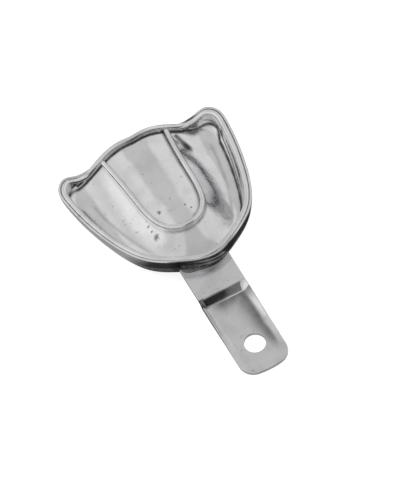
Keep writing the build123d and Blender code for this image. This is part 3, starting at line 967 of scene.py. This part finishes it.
def floor_material():
    """Pale seamless paper, brightly lit; near the tray its reflection lies in the tray's own shade."""
    material = bpy.data.materials.new("pale_floor")
    material.use_nodes = True
    tree = material.node_tree
    tree.nodes.remove(tree.nodes["Principled BSDF"])
    paper = node(tree, "ShaderNodeBsdfDiffuse", {"Color": PAPER}).outputs[0]
    glow = node(tree, "ShaderNodeEmission", {"Color": (1, 1, 1, 1), "Strength": PAPER_GLOW}).outputs[0]
    seen = node(tree, "ShaderNodeAddShader", {0: paper, 1: glow}).outputs[0]
    place = node(tree, "ShaderNodeTexCoord").outputs["Object"]
    apart = vector_calc(tree, "SUBTRACT", place, SHADE_CENTRE).outputs[0]
    away = vector_calc(tree, "LENGTH", apart).outputs["Value"]
    level = plus(tree, times(tree, ease(tree, away, *SHADE_EDGE), PAPER_MIRRORED), DARKEST)
    mirrored = node(tree, "ShaderNodeEmission", {"Strength": level}).outputs[0]
    ray = node(tree, "ShaderNodeLightPath").outputs["Is Glossy Ray"]
    mix = node(tree, "ShaderNodeMixShader", {0: ray, 1: seen, 2: mirrored}).outputs[0]
    tree.links.new(mix, tree.nodes["Material Output"].inputs["Surface"])
    return material


# ---- stage, light and camera ---------------------------------------------------
def make_floor():
    """The paper under the tray, far beyond the picture on every side."""
    size = 3.0
    corners = [(-size, -size, 0), (size, -size, 0), (size, size, 0), (-size, size, 0)]
    mesh = bpy.data.meshes.new("floor")
    mesh.from_pydata(corners, [], [(0, 1, 2, 3)])
    floor = bpy.data.objects.new("floor", mesh)
    floor.location.z = -0.2 * MM
    bpy.context.scene.collection.objects.link(floor)
    mesh.materials.append(floor_material())


def above_horizon(tree, x, y, z):
    """How open the studio is: dark low in front, tallest straight ahead, grey over that, open elsewhere."""
    front = ease(tree, times(tree, y, -1.0), 0.35, 0.62)
    front = times(tree, front, ease(tree, x, 0.55, 0.38))
    front = times(tree, front, ease(tree, x, -0.03, 0.05))
    height = plus(tree, times(tree, front, FRONT_RISE), BAND_TOP)
    beside = ease(tree, calc(tree, "ABSOLUTE", x), 0.45, 0.62)
    behind = ease(tree, y, -0.1, 0.2)
    height = minus(tree, height, times(tree, calc(tree, "MAXIMUM", beside, behind), BAND_DROP))
    lit = ease(tree, minus(tree, z, height), -0.04, 0.08)
    shade = ease(tree, minus(tree, z, times(tree, front, GREY_FRONT_RISE)), 0.11, 0.16)
    return calc(tree, "MAXIMUM", lit, times(tree, shade, GREY_LEVEL))


def sky_level(tree, x, y):
    """Brightness of the open studio: dimmer overhead, in front and on the left, brightest far left."""
    overhead = times(tree, ease(tree, x, -0.11, -0.02), ease(tree, x, 0.46, 0.36))
    sky = plus(tree, times(tree, overhead, -OVERHEAD_DIMMING), SKY_LEVEL)
    sky = plus(tree, times(tree, ease(tree, x, -0.45, -0.75), FAR_LEFT_GLOW), sky)
    sky = minus(tree, sky, times(tree, ease(tree, x, -0.2, -0.4), LEFT_DIMMING))
    return minus(tree, sky, times(tree, ease(tree, y, 0.15, -0.25), FRONT_DIMMING))


def with_doorway(tree, x, y, z, level):
    """Adds an even grey doorway low at the right rear, with a dark frame."""
    door = times(tree, ease(tree, x, 0.55, 0.72), ease(tree, y, 0.38, 0.43))
    door = times(tree, door, ease(tree, z, 0.33, 0.25))
    half_open = times(tree, door, minus(tree, 1.0, door))
    edge = calc(tree, "MULTIPLY", half_open, DOOR_FRAME_GAIN, clamp=True)
    level = plus(tree, level, times(tree, minus(tree, DOOR_LEVEL, level), door))
    return times(tree, level, minus(tree, 1.0, edge))


def make_world():
    """A studio in greys, worked out from the direction x, y, z of each ray."""
    world = bpy.data.worlds.new("studio")
    bpy.context.scene.world = world
    world.use_nodes = True
    tree = world.node_tree
    way = node(tree, "ShaderNodeTexCoord").outputs["Generated"]
    x, y, z = node(tree, "ShaderNodeSeparateXYZ", {0: way}).outputs
    sway = times(tree, minus(tree, noise(tree, way, 9.0, 2.0), 0.5), SWAY)
    x = plus(tree, x, sway)
    level = times(tree, above_horizon(tree, x, y, z), sky_level(tree, x, y))
    level = plus(tree, with_doorway(tree, x, y, z, level), DARKEST)
    background = tree.nodes["Background"]
    tree.links.new(level, background.inputs["Strength"])
    background.inputs["Color"].default_value = (1, 1, 1, 1)


def area_light(name, place, size, power):
    """A soft light aimed at the tray that does not show in its polish."""
    light = bpy.data.lights.new(name, "AREA")
    light.shape = "RECTANGLE"
    light.size, light.size_y = size
    light.energy = power
    lamp = bpy.data.objects.new(name, light)
    lamp.location = place
    lamp.rotation_euler = (-Vector(place)).to_track_quat("-Z", "Y").to_euler()
    lamp.visible_glossy = False
    bpy.context.scene.collection.objects.link(lamp)


def make_camera():
    """The camera looks down along the handle from the front left, rolled a little."""
    azimuth, elevation, roll = radians(-21.3), radians(56.3), radians(9.6)
    aim = Vector((-0.00125, -0.000078, 0.00501))
    distance = 1.1203
    back = Vector((sin(azimuth) * cos(elevation), -cos(azimuth) * cos(elevation), sin(elevation)))
    right = Vector((cos(azimuth), sin(azimuth), 0))
    up = back.cross(right)
    rolled_right = cos(roll) * right - sin(roll) * up
    rolled_up = sin(roll) * right + cos(roll) * up
    data = bpy.data.cameras.new("camera")
    data.lens = 219.35
    data.sensor_width = 36.0
    data.clip_start, data.clip_end = 0.01, 20
    camera = bpy.data.objects.new("camera", data)
    turn = Matrix((rolled_right, rolled_up, back)).transposed()
    camera.matrix_world = Matrix.Translation(aim + back * distance) @ turn.to_4x4()
    bpy.context.scene.collection.objects.link(camera)
    bpy.context.scene.camera = camera


upper_face, face_normals = pan_half()
front_wall = Wall(upper_face, face_normals)
pan_steel = polished_steel(
    "pan_steel", (0.80, 0.80, 0.81), (0.06, 0.12), 0.12 * MM, (900, 130, 300), shade_strength=0.9, specks=SPECKS
)
wire_steel = polished_steel("wire_steel", (0.82, 0.82, 0.82), (0.15, 0.24), 0.03 * MM, (900, 130, 300))
handle_steel = polished_steel(
    "handle_steel", (0.75, 0.75, 0.76), (0.13, 0.22), 0.05 * MM, (1400, 60, 300),
    shade_strength=0.92, patch=0.4, matt=0.0,
)
solder_metal = polished_steel("solder", (0.17, 0.17, 0.17), (0.20, 0.36), 0.10 * MM, (700, 300, 300))
make_pan(upper_face, face_normals, pan_steel)
rim_half = make_rim_wire(upper_face, face_normals, wire_steel)
make_palate_wire(rim_half, wire_steel)
make_handle(front_wall, handle_steel)
make_solder(front_wall, solder_metal)

make_floor()
make_world()
area_light("key", (-0.5, 0.5, 0.9), (0.6, 0.6), 9)
area_light("fill", (0.6, -0.2, 0.8), (0.5, 0.5), 4)
make_camera()
bpy.context.scene.view_settings.view_transform = "Standard"
